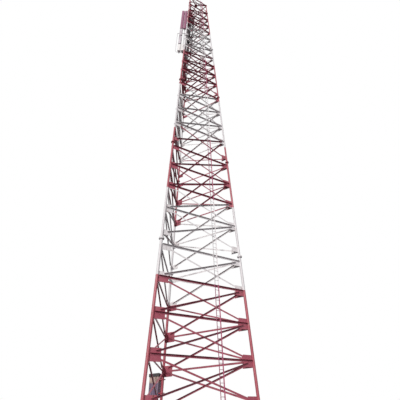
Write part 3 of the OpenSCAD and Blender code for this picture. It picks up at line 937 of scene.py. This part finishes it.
# %% [markdown]
# Spare cable is never cut off a mast. It is wound into a coil and strapped to a flat cross
# between the poles. Seven turns lie packed like a rope: one in the middle and six around it.

# %% Cable coil
COIL_D, COIL_T, COIL_GAP, CABLE_R = 0.42, 0.1, 0.72, 0.0155
COIL_Z = RADIO_TOP - RADIO_N[0] * RADIO_STEP - COIL_GAP - COIL_D / 2
coil_at = LEFT @ move(RADIO_X + POLE_D / 2 + HAIR, COIL_D / 2 + POLE_D / 2, COIL_Z)
coil = Piece("coil_turns")
a = np.linspace(0, 2 * pi, 57)[:-1]
lay = np.concatenate([[[0.0, 0.0]], circle(6, 2 * CABLE_R)])
for n, (out, depth) in enumerate(lay):
    wave = 0.0025 * np.sin(a * (2 + n % 3) + n)
    ring_r = COIL_D / 2 - COIL_T / 2 + out + wave
    ring = at(COIL_T / 2 + depth + wave, ring_r * np.cos(a), ring_r * np.sin(a))
    coil.add(tube(ring, CABLE_R, 8, closed=True), coil_at, 0.1)
coil.done(rubber, ["cable_coil"], smooth=60)

cross = Piece("coil_cross")
for x, y, z in ((0.0, COIL_D / 2, ARM / 2), (0.0062, ARM / 2, COIL_D / 2)):
    cross.add(blocks((x, -y, -z), (x + 0.006, y, z)), coil_at, 0.5)
strap = tube(at(*circle(20, 3 * CABLE_R + 0.002).T, 0), 0.0035, 6, closed=True)
for q in range(4):
    place = coil_at @ turn(90 * q + 45, "X") @ move(COIL_T / 2, (COIL_D - COIL_T) / 2, 0)
    cross.add(strap, place, 0.4)
for inward in RADIO_IN:
    hoop_at = (-POLE_D / 2, inward - COIL_D / 2 - POLE_D / 2, 0)
    cross.add(mirrored(u_bolt(HOOP_R), hoop_at), coil_at, 0.5)
cross.done(galvanised, smooth=40)

# %% [markdown]
# Leads leave the radio units through their sockets. Those of an upper unit go into the next one,
# and those of the lowest run down the pole under straps. Each eases over by 3t^2 - 2t^3.

# %% Leads
LEAD_R = 0.013
leads = Piece("pole_leads")
straps = Piece("lead_straps")
pole_low = up_side(POLE_FOOT) + 0.06
bend = np.linspace(0, 1, 9)
ease = bend * bend * (3 - 2 * bend)
hoop = circle(24, POLE_D / 2 + 2 * LEAD_R + 0.002)
for inward, units in zip(RADIO_IN, RADIO_N):
    for n in range(1, units + 1):
        z = RADIO_TOP - n * RADIO_STEP - 0.03
        for m, y in enumerate(np.linspace(-0.08, 0.08, 4)):
            hug, a = POLE_D / 2 + LEAD_R, radians(40 * m - 60)
            x = RADIO_X + (1 - ease) * (POLE_D / 2 + 0.075) + ease * hug * cos(a)
            y = inward + (1 - ease) * y + ease * hug * sin(a)
            path = at(x, y, z - bend * (0.24 + 0.02 * m if n == units else 0.125))
            if n == units:
                path = np.concatenate([path, at(x[-1], y[-1], [pole_low])])
            leads.add(tube(path, LEAD_R, 8), LEFT, 0.1)
    for z in np.arange(pole_low + 0.2, RADIO_TOP - units * RADIO_STEP - 0.35, 0.45):
        ring = at(RADIO_X + hoop[:, 0], inward + hoop[:, 1], z)
        straps.add(tube(ring, 0.003, 6, closed=True), LEFT, 0.5)
leads.done(rubber, smooth=60)
straps.done(galvanised, smooth=40)

# %% [markdown]
# ## Cabinet
# A small equipment cabinet hangs on the back leg under a sloping lid. The box itself is the CAD
# one, repainted. What is added is what a hand would touch: a door with a returned edge, hinges,
# a latch, louvres and cable glands.

# %% Cabinet fittings
CAB_W, CAB_H, CAB_D, CAB_Z, CAB_GAP = 0.61, 0.9, 0.3, 0.87, 0.13
CAB = towards_leg(2, BASE_R - LEAN * CAB_Z) @ turn(30, "Z") @ move(CAB_GAP, -CAB_D / 2, CAB_Z)
door = Piece("cabinet_door")
door_low, door_high = CAB_W * 0.045, CAB_W * 0.955
panel = rounded_plan((door_low, CAB_W * 0.055), (door_high, CAB_H - CAB_W * 0.055), 0.012)
door.add(bars(panel, (0, CAB_D * 0.025, 0), (0, -0.004, 0), (0, 0, 1)), CAB, 0.3)
hinge = turned([(0.009, -0.04), (0.011, -0.038), (0.011, 0.038), (0.009, 0.04)], 12)
door.add(repeat(hinge, at(0.018, -0.006, [0.2, 0.45, 0.7])), CAB, 0.6)
slat = np.array([[(0, -0.012, 0), (0.1, -0.012, 0), (0.1, -0.002, 0.012), (0, -0.002, 0.012)]])
slat = prisms(slat, slat + [0, 0, 0.003])
for x in (0.12, 0.34):
    door.add(repeat(slat, at(x, 0, 0.72 + np.arange(6) * 0.022)), CAB, 0.5)
door.done(cabinet_paint, smooth=35)

fittings = Piece("cabinet_fittings")
fittings.add(blocks((CAB_W - 0.1, -0.022, 0.38), (CAB_W - 0.07, -0.002, 0.54)), CAB, 0.4)
handle = at(CAB_W - 0.085, [-0.02, -0.036, -0.036, -0.02], [0.4, 0.41, 0.51, 0.52])
fittings.add(tube(handle, 0.008, 8), CAB, 0.4)
gland = turned([
    (0.016, -0.05), (0.02, -0.046), (0.02, -0.03), (0.026, -0.028), (0.026, -0.012), (0.03, -0.01),
    (0.03, 0.002),
], 12)
fittings.add(repeat(gland, at(np.linspace(0.15, CAB_W - 0.15, 5), CAB_D / 2, 0)), CAB, 0.3)
fittings.done(lid_paint, smooth=35)

# %% [markdown]
# ## Foot and top
# Each leg stands on a plate with four ribs, held by anchor bolts with two nuts each. At the top
# a thin frame ties the legs and carries the lightning rod and the red warning light.

# %% Anchor bolts
anchors = Piece("anchor_bolts")
spots = at(*circle(4, PLATE_SIDE * 0.38).T, PLATE_T)
stack = joined(
    turned([(0.03, 0), (0.03, 0.004)], 20),
    extruded(hexagon(M27_ACROSS), 0.004, 0.026),
    extruded(hexagon(M27_ACROSS), 0.028, 0.044),
    turned([(0.0135, -0.02), (0.0135, 0.075), (0.0115, 0.079)], 14),
)
for k in range(3):
    anchors.add(repeat(stack, spots), towards_leg(k, BASE_R), 0.8)
anchors.done(galvanised, smooth=40)

# %% Lightning rod and warning light
FRAME_T, FRAME_W, LAMP_D, ROD_L = 0.014, 0.09, 0.14, 1.5
crown = Matrix.Translation(AXIS + Vector((0, 0, TOWER_H + FRAME_T + HAIR)))
rod = Piece("rod_and_mast")
wide, stem, neck, tip = FRAME_W * 0.6, FRAME_W / 4, ROD_L * 0.36, ROD_L - FRAME_T
rod.add(turned([
    (wide, 0), (wide, 0.036), (FRAME_W * 0.57, 0.04), (stem + 0.004, 0.04), (stem, 0.046),
    (stem, neck - 0.01), (stem - 0.006, neck), (0.012, neck + 0.002), (0.011, ROD_L * 0.4),
    (0.004, tip - 0.03), (0.001, tip),
], 20), crown, 0.3)
foot_bolt = hexagon_bolt(0.024, 0.002, 0.012, 0.038, 0.038, 0.006)
rod.add(repeat(foot_bolt, at(*circle(4, 0.04).T, 0)), crown, 0.8)
rod.done(rod_metal, ["lightning_rod"], smooth=35)

beacon = crown @ turn(LEG_AZIMUTH[1], "Z") @ move(TOP_R * 0.3, 0, 0)
base = Piece("lamp_base")
r, stem, cap_z = LAMP_D / 2, LAMP_D * 0.225, LAMP_D * 2.6
lamp_foot = [
    (stem, 0), (stem, r * 1.6), (r * 0.96, r * 1.72), (r, r * 1.84), (r, LAMP_D + 0.02),
    (r * 0.9, LAMP_D + 0.03),
]
lamp_cap = [
    (r * 0.8, cap_z - 0.04), (r * 0.86, cap_z - 0.03), (r * 0.8, cap_z - 0.012), (r * 0.4, cap_z - 0.001),
]
for profile in (lamp_foot, lamp_cap):
    base.add(turned(profile, 28), beacon, 0.4)
base.done(rod_metal, smooth=35)
glass = Piece("lamp_glass")
z = np.linspace(LAMP_D + 0.028, cap_z - 0.035, 40)
ribs = r * (0.84 + 0.04 * np.abs(np.sin((z - z[0]) * pi / 0.02)))
glass.add(turned(np.stack([ribs, z], 1), 32), beacon, 0.0)
glass.done(lamp, ["obstruction_light"], smooth=60)

# %% [markdown]
# The CAD nodes that already have the right shape stay and only change their coat.

# %% Coats for the CAD nodes that stay
COATS = {
    "base_plates": leg_paint, "cabinet_body": cabinet_paint,
    "cabinet_lid": lid_paint, "cabinet_bracket": leg_paint, "top_frame": lattice_paint,
}
for name, coat in COATS.items():
    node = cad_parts[name]
    node.data.materials.clear()
    node.data.materials.append(coat)
print("coats:", ", ".join(COATS))

# %% [markdown]
# ## Light, floor and camera
# A low sun behind the camera and the bright haze under it light the mast. The sky is white to
# the camera, dim to the steel and brighter where the steel mirrors it, so that shaded sides stay
# dark. The floor is pale to the camera and dull to the steel, as real ground is. It is seen only
# from above, because the photograph's camera looks up from just below the mast's foot.

# %% Sky and sun
scene = bpy.context.scene
world = bpy.data.worlds.new("sky")
scene.world = world
world.use_nodes = True
sky = world.node_tree
rays = sky.nodes.new("ShaderNodeLightPath").outputs


def backdrop(background, colour, strength):
    """Sets a Background node and gives its output."""
    background.inputs["Color"].default_value = (*colour, 1)
    background.inputs["Strength"].default_value = strength
    return background.outputs[0]


def chosen(tree, share, first, second):
    """Output of a Mix Shader: first where share is 0, second where it is 1."""
    mixer = tree.nodes.new("ShaderNodeMixShader")
    for socket, source in zip(mixer.inputs, (share, first, second)):
        tree.links.new(source, socket)
    return mixer.outputs[0]


lighting = backdrop(sky.nodes["Background"], (1.0, 0.92, 1.0), 0.15)
mirrored_sky = backdrop(sky.nodes.new("ShaderNodeBackground"), (0.97, 0.97, 1.0), 1.1)
shown = backdrop(sky.nodes.new("ShaderNodeBackground"), (1, 1, 1), 1.0)
seen = sky.nodes.new("ShaderNodeMath")
seen.operation = "MAXIMUM"
sky.links.new(rays["Is Camera Ray"], seen.inputs[0])
sky.links.new(rays["Is Transmission Ray"], seen.inputs[1])
unseen = chosen(sky, rays["Is Glossy Ray"], lighting, mirrored_sky)
sky.links.new(chosen(sky, seen.outputs[0], unseen, shown), sky.nodes["World Output"].inputs["Surface"])


def add_sun(name, azimuth, height, energy, softness, colour):
    """A sun at an azimuth and height, as wide as its softness, all in degrees."""
    lamp_data = bpy.data.lights.new(name, "SUN")
    lamp_data.energy, lamp_data.angle, lamp_data.color = energy, radians(softness), colour
    thing = bpy.data.objects.new(name, lamp_data)
    a, h = radians(azimuth), radians(height)
    thing.rotation_mode = "QUATERNION"
    thing.rotation_quaternion = Vector((cos(a) * cos(h), sin(a) * cos(h), sin(h))).to_track_quat("Z", "Y")
    scene.collection.objects.link(thing)


add_sun("sun", 222, 27, 2.4, 9, (1.0, 0.97, 0.93))
add_sun("bright_haze", 236, 12, 1.15, 36, (1.0, 0.95, 1.0))

# %% Floor
REACH = 400.0  # metres from the mast to the floor's edges
floor_mesh = bpy.data.meshes.new("floor")
corners = at([-REACH, REACH, REACH, -REACH], [-REACH, -REACH, REACH, REACH], 0)
floor_mesh.from_pydata(corners.tolist(), [], [[0, 1, 2, 3]])
ground = Finish("floor", Roughness=0.9)
is_camera = ground.node("ShaderNodeLightPath", {}, {}, "Is Camera Ray")
ground.set("Base Color", ground.mix(is_camera, (0.07, 0.065, 0.065, 1), (0.86, 0.86, 0.85, 1)))
seen_from_below = ground.node("ShaderNodeNewGeometry", {}, {}, "Backfacing")
nothing = ground.tree.nodes.new("ShaderNodeBsdfTransparent").outputs[0]
one_sided = chosen(ground.tree, seen_from_below.socket, ground.shader.outputs[0], nothing)
ground.tree.links.new(one_sided, ground.tree.nodes["Material Output"].inputs["Surface"])
floor_mesh.materials.append(ground.material)
floor = bpy.data.objects.new("floor", floor_mesh)
scene.collection.objects.link(floor)

# %% [markdown]
# The camera's place, direction and focal length were fitted to sixty brace points in the
# photograph. It stands low in front of the mast and looks up by 35 degrees. A small shift puts
# the lens axis where the photograph has it.

# %% Camera
FOCAL_PX, FRAME_PX, CENTRE_PX = 323.1, 400.0, (216.0, 195.3)
CAMERA_AT = Vector((-4.8404, -13.4070, -0.4218))
HEADING, PITCH, ROLL = radians(58.15), radians(35.49), radians(-1.89)
forward = Vector((cos(HEADING) * cos(PITCH), sin(HEADING) * cos(PITCH), sin(PITCH)))
level_right = Vector((sin(HEADING), -cos(HEADING), 0))
level_up = level_right.cross(forward)
right = level_right * cos(ROLL) + level_up * sin(ROLL)
up = level_up * cos(ROLL) - level_right * sin(ROLL)
camera = bpy.data.cameras.new("camera")
camera.sensor_width = 36.0
camera.lens = FOCAL_PX / FRAME_PX * camera.sensor_width
camera.shift_x = (FRAME_PX / 2 - CENTRE_PX[0]) / FRAME_PX
camera.shift_y = (CENTRE_PX[1] - FRAME_PX / 2) / FRAME_PX
camera.clip_end = 1000
camera_object = bpy.data.objects.new("camera", camera)
facing = Matrix((right, up, -forward)).transposed().to_4x4()
camera_object.matrix_world = Matrix.Translation(CAMERA_AT) @ facing
scene.collection.objects.link(camera_object)
scene.camera = camera_object
scene.view_settings.view_transform = "Standard"
print("camera at", tuple(CAMERA_AT), "lens", round(camera.lens, 2), "mm")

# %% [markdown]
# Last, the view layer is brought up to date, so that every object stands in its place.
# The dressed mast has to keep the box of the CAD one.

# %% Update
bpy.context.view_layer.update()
